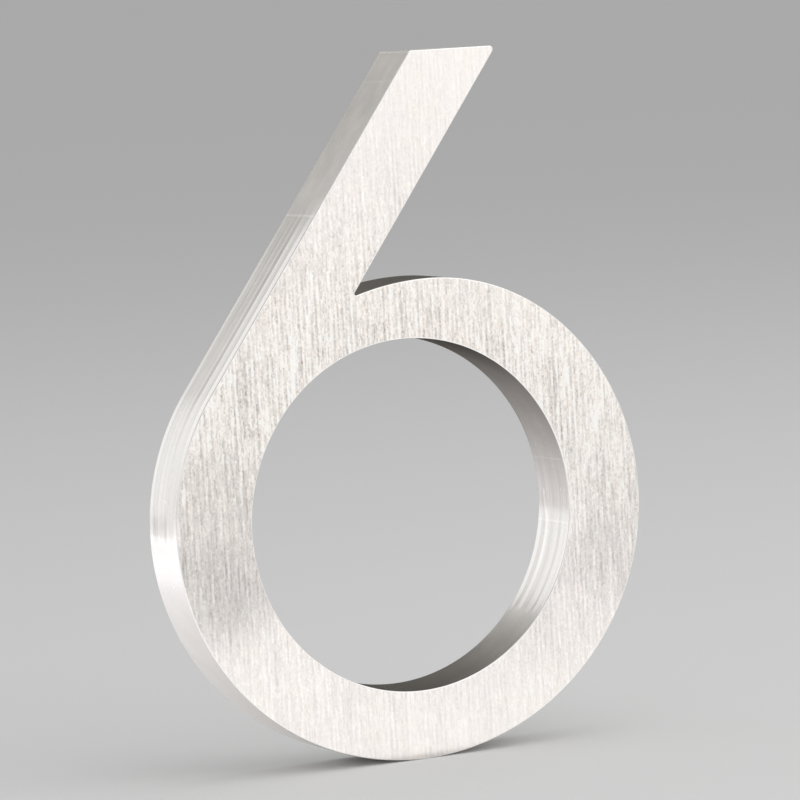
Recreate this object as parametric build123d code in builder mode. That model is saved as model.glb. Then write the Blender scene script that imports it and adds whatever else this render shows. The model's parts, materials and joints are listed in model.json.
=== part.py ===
"""House number: the numeral 6, milled from one thick aluminium plate, that stands off its wall on two studs.

Millimetres. +X is to the right and +Z is up for someone who faces the number, and the wall is towards +Y.
The origin is the centre of the round counter, on the flat back, so the face that shows is at Y = -thickness.
"""

import os
from math import asin, cos, degrees, radians, sin, tan

from build123d import *

# Plate
thickness = 12.0
edge_break = 0.2

# Bowl: heights and offsets are from the counter's centre
counter_diameter = 63.4
bowl_width = 92.6
bowl_drop = 44.1
crown_height = 42.2
crown_offset = 5.5
crown_radius = 52.0
shoulder_radius = 42.0

# Stem
stem_top = 82.9
stem_width = 14.1
stem_lean = 36.2
tip_radius = 0.7
notch_radius = 0.3

# Blind tapped holes in the back for two M4 studs, drilled to the tap's core size
tap_drill = 3.3
tap_mouth = 4.2
front_skin = 4.0
drill_tip_angle = 118.0

# The stem's left edge leaves the shoulder as its tangent, and its right edge runs parallel to that
lean = radians(stem_lean)
along_stem = Vector(sin(lean), cos(lean))
across_stem = Vector(cos(lean), -sin(lean))
left_side = Vector(-bowl_width / 2, 0)
shoulder_centre = left_side + Vector(shoulder_radius, 0)
shoulder_end = shoulder_centre - across_stem * shoulder_radius
stem_foot = shoulder_end + across_stem * stem_width
tip_left = shoulder_end + along_stem * ((stem_top - shoulder_end.Y) / along_stem.Y)
tip_right = stem_foot + along_stem * ((stem_top - stem_foot.Y) / along_stem.Y)

# The crown's arc runs back from the top of the bowl until it meets the stem's right edge in the notch
crown_centre = Vector(crown_offset, crown_height - crown_radius)
crown_reach = (crown_centre - stem_foot).dot(across_stem)
crown_sweep = degrees(asin(crown_reach / crown_radius)) - stem_lean

# One stud is in the middle of the stroke below the counter, the other straight above it in mid stem
stem_middle = shoulder_end + across_stem * (stem_width / 2)
upper_stud = stem_middle + along_stem * (-stem_middle.X / along_stem.X)
lower_stud = Vector(0, -(counter_diameter / 2 + bowl_drop) / 2)
tap_depth = thickness - front_skin
drill_tip = tap_drill / 2 / tan(radians(drill_tip_angle / 2))

with BuildPart() as numeral:
    # The outline lies on the back, and the plate grows from there towards the street
    with BuildSketch(Plane.XZ) as outline:
        with BuildLine():
            EllipticalCenterArc((0, 0), bowl_width / 2, bowl_drop, start_angle=180, arc_size=180)
            EllipticalCenterArc(
                (crown_offset, 0), bowl_width / 2 - crown_offset, crown_height, start_angle=0, arc_size=90
            )
            crown_arc = CenterArc(crown_centre, crown_radius, start_angle=90, arc_size=crown_sweep)
            Polyline(crown_arc @ 1, tip_right, tip_left, shoulder_end)
            CenterArc(shoulder_centre, shoulder_radius, start_angle=180, arc_size=-stem_lean)
        make_face()
        notch = outline.vertices().sort_by_distance(crown_arc @ 1)[0]
        fillet(notch, notch_radius)
        fillet(outline.vertices().group_by(Axis.Y)[-1], tip_radius)
        Circle(counter_diameter / 2, mode=Mode.SUBTRACT)
    extrude(amount=thickness)

    # Both faces have their sharp edges broken
    faces = numeral.faces().sort_by(Axis.Y)
    chamfer(faces[0].edges() + faces[-1].edges(), edge_break)

    # Each tapped hole has a countersunk mouth and ends in the drill's tip
    with Locations(Plane(origin=(0, 0, 0), x_dir=(-1, 0, 0), z_dir=(0, 1, 0))):
        with Locations(upper_stud, lower_stud):
            CounterSinkHole(tap_drill / 2, tap_mouth / 2, depth=tap_depth, counter_sink_angle=90)
            with Locations((0, 0, -tap_depth)):
                Cone(
                    bottom_radius=0,
                    top_radius=tap_drill / 2,
                    height=drill_tip,
                    align=(Align.CENTER, Align.CENTER, Align.MAX),
                    mode=Mode.SUBTRACT,
                )

numeral.part.label = "numeral"
os.makedirs("parts", exist_ok=True)
export_step(numeral.part, "parts/numeral.step")
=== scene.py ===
"""Looks of the house number: the numeral 6, milled from a thick aluminium plate with a brushed face.

Metres. +X is to the right and +Z is up for someone who faces the number, and the wall is towards +Y.
The origin is the centre of the round counter, on the flat back.
"""

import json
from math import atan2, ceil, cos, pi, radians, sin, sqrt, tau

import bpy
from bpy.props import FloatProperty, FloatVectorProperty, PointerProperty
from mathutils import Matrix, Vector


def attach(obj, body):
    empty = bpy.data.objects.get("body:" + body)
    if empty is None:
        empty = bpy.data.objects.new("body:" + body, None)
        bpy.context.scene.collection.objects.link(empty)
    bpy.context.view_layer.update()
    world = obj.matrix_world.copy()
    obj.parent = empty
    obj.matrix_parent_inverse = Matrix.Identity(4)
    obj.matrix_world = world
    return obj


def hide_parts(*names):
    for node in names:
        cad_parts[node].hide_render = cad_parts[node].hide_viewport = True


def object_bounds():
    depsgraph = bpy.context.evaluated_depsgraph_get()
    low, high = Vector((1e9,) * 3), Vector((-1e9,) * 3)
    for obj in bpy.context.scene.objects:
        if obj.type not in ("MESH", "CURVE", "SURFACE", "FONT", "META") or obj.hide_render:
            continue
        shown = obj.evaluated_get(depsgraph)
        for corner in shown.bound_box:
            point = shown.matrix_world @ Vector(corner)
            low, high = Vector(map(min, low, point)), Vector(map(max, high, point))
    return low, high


bl_info = {
    "name": "House number six",
    "version": (1, 0, 0),
    "blender": (4, 5, 0),
    "location": "3D View > Sidebar > House Number",
    "description": "Builds a brushed aluminium numeral 6 with its wall stud holes, and a plain stage for it",
    "category": "Add Mesh",
}

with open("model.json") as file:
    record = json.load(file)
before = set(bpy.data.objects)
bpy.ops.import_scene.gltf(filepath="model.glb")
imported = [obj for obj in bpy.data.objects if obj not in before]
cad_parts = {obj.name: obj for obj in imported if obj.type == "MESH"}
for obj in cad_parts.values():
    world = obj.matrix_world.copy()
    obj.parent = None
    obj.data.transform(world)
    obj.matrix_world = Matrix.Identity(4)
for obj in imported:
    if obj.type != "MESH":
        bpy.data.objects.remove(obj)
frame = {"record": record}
lo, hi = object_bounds()

MM = 0.001
STUDS = next(mount for mount in frame["record"]["mounts"] if mount["name"] == "wall_studs")
STUD_SPACING = STUDS["dims"]["spacing_y_mm"] * MM
STUD_MIDDLE = STUDS["pos_m"][2]
STEM_LEAN = radians(36.2)
ARC_SAG = 0.001 * MM  # how far a chord may leave its arc
FRONT, BACK = 1, -1


# Settings that a user would change


def length(name, description, default):
    """A size in metres."""
    return FloatProperty(
        name=name,
        description=description,
        default=default,
        min=0,
        precision=5,
        subtype="DISTANCE",
        unit="LENGTH",
    )


def turn(name, description, default):
    """An angle, shown in degrees."""
    return FloatProperty(
        name=name,
        description=description,
        default=default,
        subtype="ANGLE",
        unit="ROTATION",
    )


def share(name, description, default):
    """A number from 0 to 1."""
    return FloatProperty(
        name=name,
        description=description,
        default=default,
        min=0,
        max=1,
        subtype="FACTOR",
    )


def colour(name, description, default):
    """A plain colour."""
    return FloatVectorProperty(
        name=name,
        description=description,
        default=default,
        min=0,
        max=1,
        subtype="COLOR",
    )


def brightness(name, description, default):
    """A lamp's brightness, where 1 is that of a white surface."""
    return FloatProperty(name=name, description=description, default=default, min=0)


class NumeralSizes(bpy.types.PropertyGroup):
    """Sizes of the numeral's outline and of its plate."""

    thickness: length("Thickness", "Thickness of the plate", hi.y - lo.y)
    edge_radius: length("Edge Radius", "Rounding of the broken edges", 0.2 * MM)
    counter_diameter: length("Counter Diameter", "Diameter of the bowl's round counter", 63.4 * MM)
    bowl_width: length("Bowl Width", "Width of the bowl", hi.x - lo.x)
    bowl_drop: length("Bowl Drop", "From the counter's centre down to the bottom of the bowl", -lo.z)
    crown_height: length("Crown Height", "From the counter's centre up to the crown of the bowl", 42.2 * MM)
    crown_offset: length("Crown Offset", "How far right of the counter the crown is highest", 5.5 * MM)
    crown_radius: length("Crown Radius", "Radius of the crown's arc towards the notch", 52.0 * MM)
    shoulder_radius: length("Shoulder Radius", "Radius of the arc between the bowl and the stem", 42.0 * MM)
    stem_top: length("Stem Top", "From the counter's centre up to the top of the stem", hi.z)
    stem_width: length("Stem Width", "Width of the stem, square to its edges", 14.1 * MM)
    stem_lean: turn("Stem Lean", "How far the stem leans to the right", STEM_LEAN)
    tip_radius: length("Tip Radius", "Radius of the two corners at the top of the stem", 0.7 * MM)
    notch_radius: length("Notch Radius", "Radius of the notch between the stem and the crown", 0.3 * MM)


class StudHoleSizes(bpy.types.PropertyGroup):
    """Sizes of the tapped holes in the back."""

    drill: length("Tap Drill", "Diameter of the drilled hole", 2 * STUDS["dims"]["hole_r_mm"] * MM)
    thread: length("Thread", "Outer diameter of the thread", 4.0 * MM)
    pitch: length("Pitch", "Pitch of the thread", 0.7 * MM)
    mouth: length("Mouth", "Diameter of the countersunk mouth", 4.2 * MM)
    depth: length("Depth", "Depth of the drilled hole without its tip", 8.0 * MM)
    threaded: length("Threaded Depth", "How deep the thread goes", 6.6 * MM)
    tip_angle: turn("Tip Angle", "Angle of the drill's tip", radians(118))


class FinishSettings(bpy.types.PropertyGroup):
    """Colours of the aluminium's finishes."""

    face: colour("Face", "Colour of the brushed face", (0.865, 0.823, 0.79))
    wall: colour("Wall", "Colour of the milled side walls", (0.86, 0.835, 0.808))
    edge: colour("Edge", "Colour of the broken edges", (0.94, 0.93, 0.91))
    back: colour("Back", "Colour of the plain back", (0.78, 0.775, 0.765))
    hole: colour("Hole", "Colour of the tapped holes", (0.72, 0.71, 0.7))
    face_roughness: share("Face Roughness", "Roughness of the brushed face", 0.34)
    wall_roughness: share("Wall Roughness", "Roughness of the milled walls", 0.19)
    brushing: share("Brushing", "How far the brushing stretches highlights across its lines", 0.6)
    scratch_depth: length("Scratch Depth", "Height that the brushing's bump stands for", 0.03 * MM)
    cutter_depth: length("Cutter Depth", "Height that the cutter lines' bump stands for", 0.06 * MM)


class StageSettings(bpy.types.PropertyGroup):
    """Floor and lights."""

    floor: colour("Floor", "Colour of the floor", (0.8, 0.8, 0.8))
    backdrop: brightness("Backdrop", "Brightness of the room behind the floor, for the camera", 0.4)
    warmth: share("Warmth", "How much warmer the shaded cards are where they are dim", 0.06)
    surroundings: brightness("Surroundings", "Brightness of the room", 0.5)
    key: brightness("Key", "Brightness of the large lamp that the face mirrors", 0.62)
    overhead: brightness("Overhead", "Brightness of the lamp above", 0.6)
    side: brightness("Side", "Brightness of the lamp on the left that the broken edges mirror", 0.42)
    front: brightness("Front", "Brightness of the card on the floor in front that the face mirrors", 1.03)


# Node trees


class Value:
    """An output of a node. Python's operators on it, with a Value or a number, add Math nodes."""

    def __init__(self, tree, socket):
        self.tree = tree
        self.socket = socket

    def __add__(self, other):
        return self.tree.maths("ADD", self, other)

    def __radd__(self, other):
        return self.tree.maths("ADD", other, self)

    def __sub__(self, other):
        return self.tree.maths("SUBTRACT", self, other)

    def __rsub__(self, other):
        return self.tree.maths("SUBTRACT", other, self)

    def __mul__(self, other):
        return self.tree.maths("MULTIPLY", self, other)

    def __rmul__(self, other):
        return self.tree.maths("MULTIPLY", other, self)

    def __truediv__(self, other):
        return self.tree.maths("DIVIDE", self, other)

    def __rtruediv__(self, other):
        return self.tree.maths("DIVIDE", other, self)

    def __pow__(self, other):
        return self.tree.maths("POWER", self, other)

    def __rpow__(self, other):
        return self.tree.maths("POWER", other, self)

    def __neg__(self):
        return self.tree.maths("MULTIPLY", self, -1)

    def __abs__(self):
        return self.tree.maths("ABSOLUTE", self)

    def __lt__(self, other):
        return self.tree.maths("LESS_THAN", self, other)

    def __gt__(self, other):
        return self.tree.maths("GREATER_THAN", self, other)


class Tree:
    """A node tree that is being written."""

    def __init__(self, nodes):
        self.nodes = nodes

    def add(self, kind, settings=None, inputs=None):
        """Adds a node with its settings, then its sockets' values or links, and returns its outputs."""
        node = self.nodes.nodes.new(kind)
        for name, value in (settings or {}).items():
            setattr(node, name, value)
        for name, value in (inputs or {}).items():
            for one in value if isinstance(value, list) else [value]:
                self.feed(node.inputs[name], one)
        return Outputs(self, node)

    def feed(self, socket, value):
        """Links a Value to a socket, or sets the socket to a plain value."""
        if isinstance(value, Value):
            self.nodes.links.new(value.socket, socket)
        else:
            socket.default_value = value

    def maths(self, operation, *values):
        return self.add("ShaderNodeMath", {"operation": operation}, dict(enumerate(values)))[0]

    def vector(self, operation, *values):
        return self.add("ShaderNodeVectorMath", {"operation": operation}, dict(enumerate(values)))[0]

    def combine(self, x, y, z):
        return self.add("ShaderNodeCombineXYZ", None, {"X": x, "Y": y, "Z": z})["Vector"]

    def separate(self, vector):
        parts = self.add("ShaderNodeSeparateXYZ", None, {"Vector": vector})
        return parts["X"], parts["Y"], parts["Z"]

    def clamped(self, value):
        return self.add("ShaderNodeClamp", None, {"Value": value})["Result"]

    def smooth(self, value, low, high):
        """0 at low, 1 at high, which may be the smaller one, and a smooth step between them."""
        inputs = {"Value": value, "From Min": low, "From Max": high}
        return self.add("ShaderNodeMapRange", {"interpolation_type": "SMOOTHSTEP"}, inputs)["Result"]


class Outputs:
    """A node's outputs, by name or number."""

    def __init__(self, tree, node):
        self.tree = tree
        self.node = node

    def __getitem__(self, name):
        return Value(self.tree, self.node.outputs[name])


# The outline


def arc(centre, radii, start, sweep):
    """Points along an ellipse's arc, close enough together for ARC_SAG, with both its ends."""
    steps = ceil(abs(sweep) * sqrt(max(radii) / (8 * ARC_SAG)))
    angles = [start + sweep * step / steps for step in range(steps + 1)]
    return [Vector((centre.x + radii[0] * cos(angle), centre.y + radii[1] * sin(angle))) for angle in angles]


def numeral_outline(sizes):
    """The numeral's outline as arcs joined by straight lines, counter-clockwise, in the plane of the back."""
    lean = sizes.stem_lean
    along = Vector((sin(lean), cos(lean)))
    across = Vector((cos(lean), -sin(lean)))
    half_width = sizes.bowl_width / 2
    middle = Vector((0, 0))
    crown = Vector((sizes.crown_offset, 0))
    crown_centre = Vector((sizes.crown_offset, sizes.crown_height - sizes.crown_radius))
    shoulder = Vector((sizes.shoulder_radius - half_width, 0))
    left_edge = shoulder - across * sizes.shoulder_radius
    right_edge = left_edge + across * sizes.stem_width
    # The notch's arc touches the crown's arc from outside and the stem's right edge from the right
    aside = sizes.notch_radius - (crown_centre - right_edge).dot(across)
    notch_reach = sizes.crown_radius + sizes.notch_radius
    notch = crown_centre + across * aside + along * sqrt(notch_reach**2 - aside**2)
    notch_angle = atan2(notch.y - crown_centre.y, notch.x - crown_centre.x)
    # Each tip's arc touches the stem's top and one of its edges from inside
    tip_height = sizes.stem_top - sizes.tip_radius
    right_tip = right_edge - across * sizes.tip_radius
    right_tip += along * ((tip_height - right_tip.y) / along.y)
    left_tip = left_edge + across * sizes.tip_radius
    left_tip += along * ((tip_height - left_tip.y) / along.y)

    def circle(radius):
        return radius, radius

    arcs = [
        (middle, (half_width, sizes.bowl_drop), pi, pi),
        (crown, (half_width - sizes.crown_offset, sizes.crown_height), 0, pi / 2),
        (crown_centre, circle(sizes.crown_radius), pi / 2, notch_angle - pi / 2),
        (notch, circle(sizes.notch_radius), notch_angle + pi, -notch_angle - lean),
        (right_tip, circle(sizes.tip_radius), -lean, pi / 2 + lean),
        (left_tip, circle(sizes.tip_radius), pi / 2, pi / 2 - lean),
        (shoulder, circle(sizes.shoulder_radius), pi - lean, lean),
    ]
    points = []
    for centre, radii, start, sweep in arcs:
        for point in arc(centre, radii, start, sweep):
            if not points or (point - points[-1]).length > ARC_SAG:
                points.append(point)
    return points[:-1]


def counter_outline(sizes):
    """The counter's circle, clockwise."""
    radius = sizes.counter_diameter / 2
    return arc(Vector((0, 0)), (radius, radius), 0, -tau)[:-1]


def outline_curve(name, loops):
    """A curve object of closed loops in its own XY plane."""
    curve = bpy.data.curves.new(name, "CURVE")
    curve.dimensions = "3D"
    for loop in loops:
        spline = curve.splines.new("POLY")
        spline.points.add(len(loop) - 1)
        spline.points.foreach_set("co", [value for point in loop for value in (point.x, point.y, 0, 1)])
        spline.use_cyclic_u = True
    return add_object(name, curve)


def add_object(name, data):
    made = bpy.data.objects.new(name, data)
    bpy.context.scene.collection.objects.link(made)
    return made


# The plate and its holes


def geometry_tree(name, inputs):
    """A Geometry Nodes tree with named inputs, given as name: (kind of socket, default)."""
    group = bpy.data.node_groups.new(name, "GeometryNodeTree")
    group.interface.new_socket(name="Geometry", in_out="OUTPUT", socket_type="NodeSocketGeometry")
    for label, (kind, default) in inputs.items():
        socket = group.interface.new_socket(name=label, in_out="INPUT", socket_type=kind)
        if default is not None:
            socket.default_value = default
    tree = Tree(group)
    given = tree.add("NodeGroupInput")
    return tree, given


def with_material(tree, geometry, material, selection=True):
    inputs = {"Geometry": geometry, "Selection": selection, "Material": material}
    return tree.add("GeometryNodeSetMaterial", None, inputs)["Geometry"]


def merged(tree, geometry):
    inputs = {"Geometry": geometry, "Distance": ARC_SAG}
    return tree.add("GeometryNodeMergeByDistance", None, inputs)["Geometry"]


def joined(tree, *parts):
    """One mesh of several parts, closed where their edges meet."""
    return merged(tree, tree.add("GeometryNodeJoinGeometry", None, {"Geometry": list(parts)})["Geometry"])


def wall_section(tree, thickness, radius, steps):
    """The section that is swept round the outline.

    It runs out along the back, over both rounded edges and in along the front. Its X is outwards from the
    plate and its Y runs down from the back to the front.
    """
    land = radius * -1.5
    front = thickness * -1
    corners = {
        "Point 1": tree.combine(land, 0, 0),
        "Point 2": tree.combine(0, 0, 0),
        "Point 3": tree.combine(0, front, 0),
        "Point 4": tree.combine(land, front, 0),
    }
    loop = tree.add("GeometryNodeCurvePrimitiveQuadrilateral", {"mode": "POINTS"}, corners)["Curve"]
    path = tree.add("GeometryNodeSetSplineCyclic", None, {"Geometry": loop, "Cyclic": False})["Geometry"]
    inputs = {"Curve": path, "Count": steps, "Radius": radius, "Limit Radius": True}
    return tree.add("GeometryNodeFilletCurve", {"mode": "POLY"}, inputs)["Curve"]


def tapped_hole(tree, given):
    """One blind hole, open at the back and with its axis along Z.

    It has a countersunk mouth, a thread, a drilled wall and the drill's tip.
    """
    around, down = given["Hole Sides"], given["Hole Rings"]
    inputs = {"Size X": 1, "Size Y": 1, "Vertices X": around + 1, "Vertices Y": down + 1}
    grid = tree.add("GeometryNodeMeshGrid", None, inputs)["Mesh"]
    x, y, _ = tree.separate(tree.add("GeometryNodeInputPosition")["Position"])
    round_share = x + 0.5
    core = given["Tap Drill"] / 2
    tip_drop = core / tree.maths("TANGENT", given["Tip Angle"] / 2)
    depth = (y + 0.5) * (given["Hole Depth"] + tip_drop)
    # The thread climbs one pitch each turn, and each pitch has a flat crest and two straight flanks
    crest_share, flank_share = 0.22, 0.62
    climb = tree.maths("FRACT", depth / given["Pitch"] - round_share)
    ridge = tree.clamped((abs(climb * 2 - 1) - crest_share) / flank_share)
    fade = tree.smooth(given["Threaded Depth"] - depth, 0, given["Pitch"])
    cut = (given["Thread"] / 2 - core) * ridge * fade
    mouth = given["Mouth"] / 2 - depth
    tip = (given["Hole Depth"] + tip_drop - depth) * core / tip_drop
    radius = tree.maths("MINIMUM", tree.maths("MAXIMUM", core + cut, mouth), tree.maths("MAXIMUM", tip, 0))
    angle = round_share * tau
    place = tree.combine(radius * tree.maths("COSINE", angle), radius * tree.maths("SINE", angle), depth)
    bent = tree.add("GeometryNodeSetPosition", None, {"Geometry": grid, "Position": place})["Geometry"]
    return tree.add("GeometryNodeFlipFaces", None, {"Mesh": merged(tree, bent)})["Mesh"]


def stud_holes(tree, given):
    """The tapped holes, one over the other."""
    start = tree.combine(0, given["Lowest Stud"], 0)
    step = tree.combine(0, given["Stud Spacing"], 0)
    inputs = {"Count": given["Stud Count"], "Start Location": start, "Offset": step}
    studs = tree.add("GeometryNodeMeshLine", None, inputs)["Mesh"]
    inputs = {"Points": studs, "Instance": tapped_hole(tree, given)}
    holes = tree.add("GeometryNodeInstanceOnPoints", None, inputs)["Instances"]
    real = tree.add("GeometryNodeRealizeInstances", None, {"Geometry": holes})["Geometry"]
    return with_material(tree, real, given["Hole Finish"])


def flat_side(tree, shell, side, thickness, material):
    """Fills the plate's front or back between the open edges that the shell has there."""
    _, _, z = tree.separate(tree.add("GeometryNodeInputPosition")["Position"])
    faces = tree.add("GeometryNodeInputMeshEdgeNeighbors")["Face Count"]
    there = z > thickness / 2 if side == FRONT else z < thickness / 2
    inputs = {"Mesh": shell, "Selection": there * (faces < 2)}
    rims = tree.add("GeometryNodeMeshToCurve", None, inputs)["Curve"]
    filled = tree.add("GeometryNodeFillCurve", {"mode": "TRIANGLES"}, {"Curve": rims})["Mesh"]
    if side == FRONT:
        inputs = {"Geometry": filled, "Translation": tree.combine(0, 0, thickness)}
        filled = tree.add("GeometryNodeTransform", None, inputs)["Geometry"]
    else:
        filled = tree.add("GeometryNodeFlipFaces", None, {"Mesh": filled})["Mesh"]
    return with_material(tree, filled, material)


def numeral_tree():
    """Sweeps the wall's section round an outline, adds the tapped holes and closes the front and the back."""
    size = "NodeSocketFloat"
    number = "NodeSocketInt"
    finish = "NodeSocketMaterial"
    tree, given = geometry_tree(
        "Milled numeral",
        {
            "Outline": ("NodeSocketObject", None),
            "Thickness": (size, 12 * MM),
            "Edge Radius": (size, 0.2 * MM),
            "Edge Steps": (number, 6),
            "Stud Count": (number, 2),
            "Stud Spacing": (size, 100 * MM),
            "Lowest Stud": (size, -40 * MM),
            "Tap Drill": (size, 3.3 * MM),
            "Thread": (size, 4 * MM),
            "Pitch": (size, 0.7 * MM),
            "Mouth": (size, 4.2 * MM),
            "Hole Depth": (size, 8 * MM),
            "Threaded Depth": (size, 6.6 * MM),
            "Tip Angle": (size, radians(118)),
            "Hole Sides": (number, 40),
            "Hole Rings": (number, 128),
            "Face Finish": (finish, None),
            "Back Finish": (finish, None),
            "Wall Finish": (finish, None),
            "Edge Finish": (finish, None),
            "Hole Finish": (finish, None),
        },
    )
    inputs = {"Object": given["Outline"]}
    outline = tree.add("GeometryNodeObjectInfo", {"transform_space": "RELATIVE"}, inputs)["Geometry"]
    outline = tree.add("GeometryNodeSetCurveNormal", {"mode": "Z_UP"}, {"Curve": outline})["Curve"]
    section = wall_section(tree, given["Thickness"], given["Edge Radius"], given["Edge Steps"])
    swept = tree.add("GeometryNodeCurveToMesh", None, {"Curve": outline, "Profile Curve": section})["Mesh"]
    wall = tree.add("GeometryNodeFlipFaces", None, {"Mesh": swept})["Mesh"]
    _, _, facing = tree.separate(tree.add("GeometryNodeInputNormal")["Normal"])
    wall = with_material(tree, wall, given["Wall Finish"])
    wall = with_material(tree, wall, given["Edge Finish"], abs(facing) > 0.02)
    wall = with_material(tree, wall, given["Face Finish"], facing > 0.999)
    wall = with_material(tree, wall, given["Back Finish"], facing < -0.999)
    shell = joined(tree, wall, stud_holes(tree, given))
    front = flat_side(tree, shell, FRONT, given["Thickness"], given["Face Finish"])
    back = flat_side(tree, shell, BACK, given["Thickness"], given["Back Finish"])
    plate = joined(tree, shell, front, back)
    inputs = {"Geometry": plate, "Shade Smooth": abs(facing) < 0.999}
    plate = tree.add("GeometryNodeSetShadeSmooth", None, inputs)["Geometry"]
    # A plain edge between each wall and its rounding keeps the wall's own shading flat from back to front
    _, _, height = tree.separate(tree.add("GeometryNodeInputPosition")["Position"])
    inner, outer = given["Edge Radius"], given["Thickness"] - given["Edge Radius"]
    rounding_ends = (abs(height - inner) < ARC_SAG) + (abs(height - outer) < ARC_SAG)
    inputs = {"Geometry": plate, "Selection": rounding_ends, "Shade Smooth": False}
    plate = tree.add("GeometryNodeSetShadeSmooth", {"domain": "EDGE"}, inputs)["Geometry"]
    # The tree works flat on its back, and the finished numeral stands up
    inputs = {"Geometry": plate, "Rotation": (pi / 2, 0, 0)}
    standing = tree.add("GeometryNodeTransform", None, inputs)["Geometry"]
    tree.add("NodeGroupOutput", None, {"Geometry": standing})
    return tree.nodes


def grown_piece(name, group, values):
    """A piece made by a Geometry Nodes tree from its named inputs, kept as a plain mesh."""
    piece = bpy.data.objects.new(name, bpy.data.meshes.new(name))
    modifier = piece.modifiers.new(group.name, "NODES")
    modifier.node_group = group
    for socket in group.interface.items_tree:
        if socket.in_out == "INPUT":
            modifier[socket.identifier] = values[socket.name]
    bpy.context.scene.collection.objects.link(piece)
    depsgraph = bpy.context.evaluated_depsgraph_get()
    made = bpy.data.meshes.new_from_object(piece.evaluated_get(depsgraph), depsgraph=depsgraph)
    piece.modifiers.clear()
    piece.data = made
    made.name = name
    for slot in reversed(range(len(made.materials))):
        if made.materials[slot] is None:
            made.materials.pop(index=slot)
    if not made.polygons:
        raise RuntimeError(f"the tree of {name} made no faces")
    return piece


# Finishes


def new_finish(name):
    """A metal material, its tree and the place on the piece in millimetres."""
    material = bpy.data.materials.new(name)
    material.use_nodes = True
    material.node_tree.nodes.clear()
    tree = Tree(material.node_tree)
    place = tree.add("ShaderNodeTexCoord")["Object"]
    in_mm = tree.vector("MULTIPLY", place, (1 / MM,) * 3)
    return material, tree, in_mm


def noise(tree, place, size, seed, detail=0.0):
    """Noise about 0.5 whose spots are as large along X, Y and Z as size says, in millimetres."""
    scale = tuple(1 / side for side in size)
    spots = tree.vector("MULTIPLY_ADD", place, scale, (seed, 2.3 * seed, 3.7 * seed))
    inputs = {"Vector": spots, "Scale": 1, "Detail": detail}
    return tree.add("ShaderNodeTexNoise", {"noise_dimensions": "3D"}, inputs)["Fac"]


def shaded(tree, base, light):
    """A base colour made lighter or darker by a number."""
    return tree.vector("MULTIPLY", tuple(base), tree.combine(light, light, light))


def metal(tree, inputs, height=None, depth=0.0):
    """Ends a material's tree in a metal surface, with a bump of that height field times depth in metres."""
    if height is not None:
        inputs["Normal"] = tree.add("ShaderNodeBump", None, {"Distance": depth, "Height": height})["Normal"]
    surface = tree.add("ShaderNodeBsdfPrincipled", None, {"Metallic": 1, **inputs})["BSDF"]
    tree.add("ShaderNodeOutputMaterial", None, {"Surface": surface})


def strokes(tree, across, along, seed, sizes, in_turn=False):
    """A sum of straight strokes side by side, about 0, given as their width, length and strength.

    Most strokes are faint and a few are strong. With in_turn set, light and dark strokes take turns.
    """
    total = 0
    for number, (width, reach, strength) in enumerate(sizes):
        row = tree.maths("FLOOR", across / width)
        inputs = {"W": row + seed + 17.3 * number}
        shift = tree.add("ShaderNodeTexWhiteNoise", {"noise_dimensions": "1D"}, inputs)["Value"]
        place = tree.combine(row, tree.maths("FLOOR", along / reach + shift * 31), seed + number)
        tone = tree.add("ShaderNodeTexWhiteNoise", {"noise_dimensions": "3D"}, {"Vector": place})["Value"]
        if in_turn:
            total = total + (1 - tree.maths("FRACT", row / 2) * 4) * tone * strength
        else:
            spread = tone * 2 - 1
            total = total + spread * (spread * spread * 0.7 + 0.3) * strength
    return total


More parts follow.
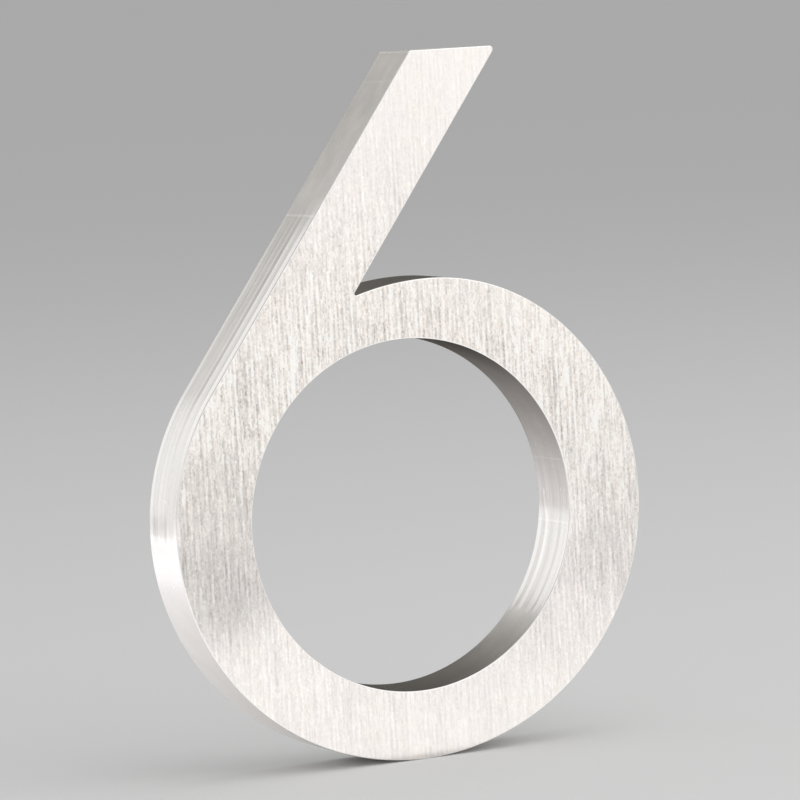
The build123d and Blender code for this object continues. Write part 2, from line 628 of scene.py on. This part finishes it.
def brushed_face(finish):
    """Straight brushing along the numeral's height: strokes of many lengths, ribs and darker hairlines.

    It is deepest across the crown and fades towards the stem's top and the bottom of the bowl. Painted shade
    darkens both sides of the bowl, the upper part of the face and a spot above the counter, and painted light
    brightens the upper right of the face and two spots on the left.
    """
    material, tree, place = new_finish("brushed_face")
    x, _, z = tree.separate(place)
    # Each stroke is given as its width and length in millimetres and its strength
    short = strokes(tree, x, z, 1, ((0.27, 0.4, 0.12), (0.34, 0.8, 0.06), (0.29, 1.6, 0.09)))
    long = strokes(tree, x, z, 5, ((0.33, 3, 0.11), (0.39, 6, 0.09), (0.5, 12, 0.065)))
    ribs = strokes(tree, x, z, 11, ((0.42, 12, 0.055), (0.56, 9, 0.055)), in_turn=True)
    broad = (noise(tree, place, (1.3, 9, 14), 31.9) - 0.5) * 0.05
    broad = broad + (noise(tree, place, (3.2, 9, 20), 35.2) - 0.5) * 0.04
    hairline = tree.smooth(noise(tree, place, (0.34, 9, 12), 45.8), 0.66, 0.8)

    def spot(middle_x, middle_z, across, along):
        """1 in the middle of an oval place on the face, and 0 outside it."""
        return tree.smooth(((x - middle_x) / across) ** 2 + ((z - middle_z) / along) ** 2, 1.3, 0.1)

    depth = 0.36 + tree.smooth(z, -55, 30) * tree.smooth(z, 75, 28) * (1 - spot(32, 44, 24, 16) * 0.4)
    depth = depth * (1 - spot(-42, -8, 20, 26) * 0.18)
    brushing = (short + long + ribs + broad - hairline * 0.07) * depth
    cloud = noise(tree, place, (16, 9, 16), 3.3, 1) - 0.5
    # Painted highlight: the face is a little lighter towards its upper right
    painted_highlight = tree.smooth(x, -35, 30) * tree.smooth(z, -8, 30) * 0.055
    # Painted shade: the face is a little darker over its upper part
    painted_shade = tree.smooth(z, 26, 46) * 0.02
    # Each place of painted shade is given as its middle, its reach across and along, and how much darker
    # it is. The two places below 0 are painted light instead.
    painted_shade_spots = (
        ((-34, -1, 22, 16), 0.095),
        ((-44, -11, 17, 11), 0.14),
        ((42, -12, 14, 9), 0.08),
        ((4, 28, 18, 9), 0.035),
        ((-30, -24, 14, 10), -0.05),
        ((-28, 28, 14, 14), -0.04),
    )
    for middle_and_reach, darker in painted_shade_spots:
        painted_shade = painted_shade + spot(*middle_and_reach) * darker
    light = 1 + brushing + cloud * 0.03 + painted_highlight - painted_shade
    # The middle of the numeral's height is a little warmer than its ends
    mellow = tree.smooth(z, -20, 25) * tree.smooth(z, 62, 32)
    warm = (noise(tree, place, (2.4, 9, 4), 52.6, 2) - 0.5) * 0.05 + mellow * 0.008
    cool = (noise(tree, place, (3, 9, 3), 63.1, 2) - 0.5) * 0.05 - mellow * 0.018
    tint = tree.combine(light * (1 + warm), light, light * (1 + cool))
    inputs = {
        "Base Color": tree.vector("MULTIPLY", tuple(finish.face), tint),
        "Roughness": finish.face_roughness + (broad * 0.4 + long * 0.3) * depth,
        "Anisotropic": finish.brushing,
    }
    metal(tree, inputs, brushing, finish.scratch_depth)
    return material


def bands(tree, deep, rows):
    """The height of bands that the cutter left along a wall, and their tone, which is painted highlight and
    shade.

    Each row gives a band's start and end in millimetres from the front, its rise from front to back and its
    tone.
    """
    height = light = 0
    for start, end, rise, tone in rows:
        height = height + tree.clamped((deep - start) / (end - start)) * rise
        light = light + (deep > start) * (deep < end) * tone
    return height, light


def milled_wall(finish):
    """Satin milled wall: soft clouds, fine grain, small bright specks and the cutter's marks.

    The cutter's lines follow the outline. They are plain on two dressed stretches, the stem's left side with
    the shoulder and the counter's lower half, and faint elsewhere. There the bands also carry painted
    highlight and shade. The left side's front third was milled in a pass of its own, and the left side has a
    painted highlight towards the stem's top. Thin cross marks show where the cutter came in, and the counter
    has one bright curved streak. The stem's end is coarser than the other walls.
    """
    material, tree, place = new_finish("milled_wall")
    x, y, z = tree.separate(place)
    deep = y - lo.y / MM
    stem_top = hi.z / MM
    # The left side with the shoulder lies this far left of the counter's centre, square to the stem
    aside = x * cos(STEM_LEAN) - z * sin(STEM_LEAN)
    on_left = tree.smooth(aside, -36.2, -37.6)
    left_side = on_left * tree.smooth(z, 60, 48)
    # Each band's tone is painted highlight or shade
    left_bands = (
        (0.2, 1.5, 1.1, 0.1),
        (1.5, 3.0, 0.5, -0.03),
        (3.0, 4.3, 0.8, 0.03),
        (4.5, 5.6, -0.4, -0.04),
        (5.7, 6.6, 0.1, 0.02),
        (7.2, 8.3, 0.0, 0.03),
        (8.5, 10.4, -0.2, -0.04),
        (10.6, 11.8, 0.2, 0.05),
    )
    # The counter's wall is the only one this close to its centre
    counter_reach = 36
    counter = x * x + z * z < counter_reach**2
    inside = tree.smooth(z, 9, 4) * 0.4 + tree.smooth(z, -2, -6) * 0.6
    inside = counter * inside * tree.smooth(z, -20.8, -19.6)
    # Each band's tone is painted highlight or shade
    inside_bands = (
        (0.0, 0.8, 0.1, 0.08),
        (1.7, 2.8, 0.1, 0.03),
        (2.9, 3.9, -0.1, -0.1),
        (4.2, 5.4, 0.1, 0.0),
        (5.7, 7.3, -0.1, -0.07),
        (7.7, 8.8, 0.1, 0.08),
        (9.0, 10.3, -0.1, -0.1),
        (10.5, 11.9, 0.1, 0.07),
    )
    left_height, left_painted_bands = bands(tree, deep, left_bands)
    inside_height, inside_painted_bands = bands(tree, deep, inside_bands)
    # The bright streak curves away from the front as it climbs
    streak_depth = 8.2 + tree.smooth(z, -6.5, 0) * 1.5
    streak = tree.smooth((deep - streak_depth) ** 2, 0.25, 0.03)
    streak = streak * tree.smooth(z, 1.3, 0.8) * tree.smooth(z, -17, -7)

    def cross_mark(at_height):
        """A thin line straight across the wall."""
        return tree.smooth((z - at_height) ** 2, 0.07, 0)

    marks = on_left * (cross_mark(54.8) + cross_mark(77.6) * 0.4)
    counter_marks = streak * 1.6 + cross_mark(7) * 0.5 + cross_mark(-4.6) * 0.5
    marks = marks + counter * tree.smooth(x, 0, 1) * counter_marks
    fine = tree.smooth(noise(tree, place, (40, 0.42, 40), 2.6), 0.36, 0.64) - 0.5
    step = noise(tree, place, (70, 3.2, 70), 7.2) - 0.5
    dressed = left_side + inside
    cloud = noise(tree, place, (5, 4, 5), 8.4, 2) - 0.5
    grain = noise(tree, place, (0.32, 0.32, 0.32), 6.6, 1) - 0.5
    speck = tree.smooth(noise(tree, place, (0.5, 0.5, 0.5), 12.1), 0.78, 0.84)
    light = 1 + fine * dressed * 0.06 + left_side * left_painted_bands + inside * inside_painted_bands
    light = light + cloud * 0.12 + grain * 0.14 + speck * 0.2 + marks * 0.13
    # Painted highlight: the left side is lighter towards the stem's top
    light = light + on_left * tree.smooth(z, stem_top - 7.9, stem_top - 0.9) * 0.12
    coarse_end = tree.smooth(z, stem_top - 0.4, stem_top - 0.2)
    rough = finish.wall_roughness + cloud * 0.12 + fine * 0.03 - inside * 0.04 + coarse_end * 0.35
    height = (fine * 0.12 + step * 0.3) * (0.08 + dressed * 0.92) + grain * 0.1
    height = height + left_side * left_height + inside * inside_height
    inputs = {"Base Color": shaded(tree, finish.wall, light), "Roughness": rough}
    metal(tree, inputs, height, finish.cutter_depth)
    return material


def broken_edge(finish):
    """The bright burnished line along the edges."""
    material, tree, place = new_finish("broken_edge")
    patches = noise(tree, place, (3, 3, 3), 3.9, 2)
    light = 1 + (patches - 0.5) * 0.2
    metal(tree, {"Base Color": shaded(tree, finish.edge, light), "Roughness": 0.34 + (patches - 0.5) * 0.1})
    return material


def plain_back(finish):
    """The back as the plate came from the mill: a matt skin with faint rolling lines."""
    material, tree, place = new_finish("plain_back")
    rolling = noise(tree, place, (0.8, 9, 60), 2.2, 2)
    fine = noise(tree, place, (0.25, 9, 18), 6.1)
    cloud = noise(tree, place, (14, 9, 14), 5.5, 2)
    lines = (rolling - 0.5) * 0.6 + (fine - 0.5) * 0.4
    light = 1 + lines * 0.14 + (cloud - 0.5) * 0.12
    rough = 0.42 + (cloud - 0.5) * 0.12
    metal(tree, {"Base Color": shaded(tree, finish.back, light), "Roughness": rough}, lines, 0.006 * MM)
    return material


def cut_hole(finish):
    """The bright cut metal of a tapped hole."""
    material, tree, place = new_finish("cut_hole")
    tooling = noise(tree, place, (0.5, 0.05, 0.5), 4.4)
    light = 1 + (tooling - 0.5) * 0.3
    metal(tree, {"Base Color": shaded(tree, finish.hole, light), "Roughness": 0.3}, tooling, 0.002 * MM)
    return material


def matt_finish(name, base):
    """A matt surface of one base colour."""
    material = bpy.data.materials.new(name)
    material.use_nodes = True
    surface = material.node_tree.nodes["Principled BSDF"]
    surface.inputs["Base Color"].default_value = (*base, 1)
    surface.inputs["Roughness"].default_value = 1
    surface.inputs["Specular IOR Level"].default_value = 0
    return material


class HOUSENUMBER_OT_numeral(bpy.types.Operator):
    """Build the milled numeral with its stud holes and its finishes"""

    bl_idname = "house_number.numeral"
    bl_label = "Build Numeral"

    def execute(self, context):
        sizes = context.scene.numeral_sizes
        holes = context.scene.stud_hole_sizes
        finish = context.scene.numeral_finish
        outline = outline_curve("numeral_outline", [numeral_outline(sizes), counter_outline(sizes)])
        values = {
            "Outline": outline,
            "Thickness": sizes.thickness,
            "Edge Radius": sizes.edge_radius,
            "Edge Steps": 6,
            "Stud Count": STUDS["dims"]["count"],
            "Stud Spacing": STUD_SPACING,
            "Lowest Stud": STUD_MIDDLE - STUD_SPACING / 2,
            "Tap Drill": holes.drill,
            "Thread": holes.thread,
            "Pitch": holes.pitch,
            "Mouth": holes.mouth,
            "Hole Depth": holes.depth,
            "Threaded Depth": holes.threaded,
            "Tip Angle": holes.tip_angle,
            "Hole Sides": 40,
            "Hole Rings": 128,
            "Face Finish": brushed_face(finish),
            "Back Finish": plain_back(finish),
            "Wall Finish": milled_wall(finish),
            "Edge Finish": broken_edge(finish),
            "Hole Finish": cut_hole(finish),
        }
        plate = grown_piece("numeral_plate", numeral_tree(), values)
        bpy.data.objects.remove(outline)
        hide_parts("numeral")
        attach(plate, "root")
        return {"FINISHED"}


# The stage


def towards(azimuth, elevation):
    """The direction to a place seen from the numeral, its azimuth counted from the front to the right."""
    return Vector((sin(azimuth) * cos(elevation), -cos(azimuth) * cos(elevation), sin(elevation)))


def lamp_around(name, power, azimuth, elevation, distance, width, height):
    """A soft lamp that the camera doesn't see, that many degrees round and up, shining on the numeral."""
    data = bpy.data.lights.new(name, "AREA")
    data.shape = "RECTANGLE"
    data.size = width
    data.size_y = height
    data.energy = power * pi * width * height
    lamp = add_object(name, data)
    lamp.visible_camera = False
    back = towards(radians(azimuth), radians(elevation))
    lamp.location = back * distance
    lamp.rotation_euler = back.to_track_quat("Z", "Y").to_euler()


def add_panel(name, corners, material):
    """A flat four-sided panel."""
    mesh = bpy.data.meshes.new(name)
    mesh.from_pydata(corners, [], [(0, 1, 2, 3)])
    mesh.materials.append(material)
    panel = add_object(name, mesh)
    return panel


def glow(name):
    """A material that will only glow, its tree, and where a place on it lies as seen from the numeral.

    The place is given as degrees to the left of the rear and as metres away along the floor.
    """
    material = bpy.data.materials.new(name)
    material.use_nodes = True
    material.node_tree.nodes.clear()
    tree = Tree(material.node_tree)
    x, y, _ = tree.separate(tree.add("ShaderNodeTexCoord")["Object"])
    turned = tree.maths("ARCTAN2", -x, y) * (180 / pi)
    away = (x * x + y * y) ** 0.5
    return material, tree, turned, away


def shaded_card(name, corners, material):
    """A card that only the metal mirrors, its corners given in millimetres."""
    card = add_panel(name, [Vector(corner) * MM for corner in corners], material)
    card.visible_camera = False
    card.visible_diffuse = False
    card.visible_shadow = False


def floor_shaded_card(name, low, high, material):
    """A shaded card just above the floor, between two corners in millimetres."""
    clearance = 0.3
    height = lo.z / MM + clearance
    corners = [(low[0], low[1]), (high[0], low[1]), (high[0], high[1]), (low[0], high[1])]
    shaded_card(name, [(x, y, height) for x, y in corners], material)


def glowing(tree, shade, warmth, green=1.0):
    """Ends a material's tree in a glow, a little warmer where it is dim, and with its green scaled."""
    inputs = {"Base Color": (0, 0, 0, 1), "Specular IOR Level": 0, "Emission Strength": 1}
    middle = shade ** (1 + warmth * 0.4) * green
    inputs["Emission Color"] = tree.combine(shade, middle, shade ** (1 + warmth))
    surface = tree.add("ShaderNodeBsdfPrincipled", None, inputs)["BSDF"]
    tree.add("ShaderNodeOutputMaterial", None, {"Surface": surface})


def rear_card(stage):
    """The card behind, which the side walls mirror: dark on the right, and bright left of a plain edge.

    It fades into the room at both ends.
    """
    material, tree, turned, _ = glow("rear_card")
    left_end, right_end = 36, -44
    distance, top = 1200, 900
    shade = 0.105 * tree.maths("EXPONENT", (turned + 25) / 22.5)
    bright = tree.smooth(turned, 13.8, 15.3)
    shade = shade + bright * (0.97 + tree.smooth(turned, 23, 27) * 0.08 - shade)
    ends = tree.smooth(turned, left_end - 5, left_end) + tree.smooth(turned, right_end + 10, right_end)
    glowing(tree, shade + ends * (stage.surroundings - shade), stage.warmth)
    left, right = (towards(radians(180 + end), 0) * distance for end in (left_end, right_end))
    low, high = (Vector((0, 0, height)) for height in (lo.z / MM, top))
    shaded_card("rear_card", [left + low, right + low, right + high, left + high], material)


def rear_floor_card(stage):
    """The card on the floor behind, which the walls mirror: the same shades, and a painted shadow towards the
    foot.

    Its bright part on the left has a brighter patch near the numeral, and both ends fade into plain shades.
    """
    material, tree, turned, away = glow("rear_floor_card")
    shade = tree.clamped((0.13 + (turned + 24) * 0.0125) / 0.67) * 0.67 - tree.smooth(turned, -12, -26) * 0.05
    step = tree.smooth(turned, 27.1, 28.3)
    within = tree.smooth(away, 0.5, 0.44)
    bright = step * (0.29 + within * 0.2 + within * tree.smooth(away, 0.13, 0.155) * 0.12)
    # Painted shadow: the card darkens towards the numeral's foot
    near = tree.clamped((away / 0.2) ** 0.34)
    shade = (tree.maths("MAXIMUM", shade, 0.05) + bright) * near
    left_end = tree.smooth(turned, 38, 60) * tree.smooth(away, 0.2, 0.4)
    shade = shade + left_end * (0.9 - shade)
    right_end = tree.smooth(turned, -30, -45)
    shade = shade + right_end * (stage.backdrop - shade)
    glowing(tree, shade, stage.warmth, 0.985)
    floor_shaded_card("rear_floor_card", (-900, 3), (500, 1200), material)


def front_floor_card(stage):
    """The card on the floor in front, which the face mirrors. It is dimmest half a metre away."""
    material, tree, _, away = glow("front_floor_card")
    shade = 1.06 - tree.smooth(away, 0.1, 0.4) * 0.38 + tree.smooth(away, 0.7, 1.1) * 0.2
    glowing(tree, shade * stage.front, 0)
    floor_shaded_card("front_floor_card", (-1500, -2500), (1500, -15), material)


def set_world(scene, stage):
    """An even room, whose brightness for the camera is that of the floor far away."""
    world = bpy.data.worlds.new("stage_world")
    world.use_nodes = True
    world.node_tree.nodes.clear()
    tree = Tree(world.node_tree)
    seen = tree.add("ShaderNodeLightPath")["Is Camera Ray"]
    strength = stage.surroundings + seen * (stage.backdrop - stage.surroundings)
    room = tree.add("ShaderNodeBackground", None, {"Color": (1, 1, 1, 1), "Strength": strength})["Background"]
    tree.add("ShaderNodeOutputWorld", None, {"Surface": room})
    scene.world = world


def photo_camera():
    """The camera where the photograph was taken from, a little left, slightly above and slightly rolled."""
    left, above, roll = radians(26.11), radians(4.952), radians(-3.229)
    distance = 834.918 * MM
    aside, up = -2.449 * MM, 20.627 * MM
    focal_length, sensor = 209.818, 36.0
    level = Vector((cos(left), -sin(left), 0))
    upright = Vector((sin(left) * sin(above), cos(left) * sin(above), cos(above)))
    right = cos(roll) * level + sin(roll) * upright
    top = cos(roll) * upright - sin(roll) * level
    back = right.cross(top)
    face_centre = Vector((0, lo.y, 0))
    data = bpy.data.cameras.new("photo_camera")
    data.lens = focal_length
    data.sensor_width = sensor
    data.clip_start = 10 * MM
    data.clip_end = 200
    camera = add_object("photo_camera", data)
    turn_to = Matrix((right, top, back)).transposed().to_4x4()
    place = face_centre + right * aside + top * up + back * distance
    camera.matrix_world = Matrix.Translation(place) @ turn_to
    bpy.context.scene.camera = camera


class HOUSENUMBER_OT_stage(bpy.types.Operator):
    """Set the floor, the lights and the camera"""

    bl_idname = "house_number.stage"
    bl_label = "Set Stage"

    def execute(self, context):
        stage = context.scene.number_stage
        reach = 100
        corners = [(-reach, -reach, lo.z), (reach, -reach, lo.z), (reach, reach, lo.z), (-reach, reach, lo.z)]
        add_panel("stage_floor", corners, matt_finish("stage_floor", stage.floor))
        set_world(context.scene, stage)
        # Each lamp stands at an azimuth, an elevation and a distance, and has a width and a height
        lamp_around("key_lamp", stage.key, 26, 12, 0.9, 1.4, 1.1)
        lamp_around("overhead_lamp", stage.overhead, 45, 64, 1.1, 1.42, 1.42)
        lamp_around("side_lamp", stage.side, -92, 18, 1.0, 1.8, 0.5)
        rear_card(stage)
        rear_floor_card(stage)
        front_floor_card(stage)
        photo_camera()
        context.scene.view_settings.view_transform = "Standard"
        return {"FINISHED"}


class HOUSENUMBER_PT_panel(bpy.types.Panel):
    """Lists the numeral's settings and steps"""

    bl_idname = "HOUSENUMBER_PT_panel"
    bl_label = "House Number"
    bl_space_type = "VIEW_3D"
    bl_region_type = "UI"
    bl_category = "House Number"

    def draw(self, context):
        for group in SETTINGS:
            box = self.layout.box()
            for name in SETTINGS[group].__annotations__:
                box.prop(getattr(context.scene, group), name)
        for operator in STEPS:
            self.layout.operator(operator.bl_idname)


SETTINGS = {
    "numeral_sizes": NumeralSizes,
    "stud_hole_sizes": StudHoleSizes,
    "numeral_finish": FinishSettings,
    "number_stage": StageSettings,
}
STEPS = (HOUSENUMBER_OT_numeral, HOUSENUMBER_OT_stage)


def register():
    for kind in (*SETTINGS.values(), *STEPS, HOUSENUMBER_PT_panel):
        bpy.utils.register_class(kind)
    for name, kind in SETTINGS.items():
        setattr(bpy.types.Scene, name, PointerProperty(type=kind))


def unregister():
    for name in SETTINGS:
        delattr(bpy.types.Scene, name)
    for kind in (HOUSENUMBER_PT_panel, *STEPS, *SETTINGS.values()):
        bpy.utils.unregister_class(kind)


def main():
    register()
    bpy.ops.house_number.numeral()
    bpy.ops.house_number.stage()


if __name__ == "__main__":
    main()
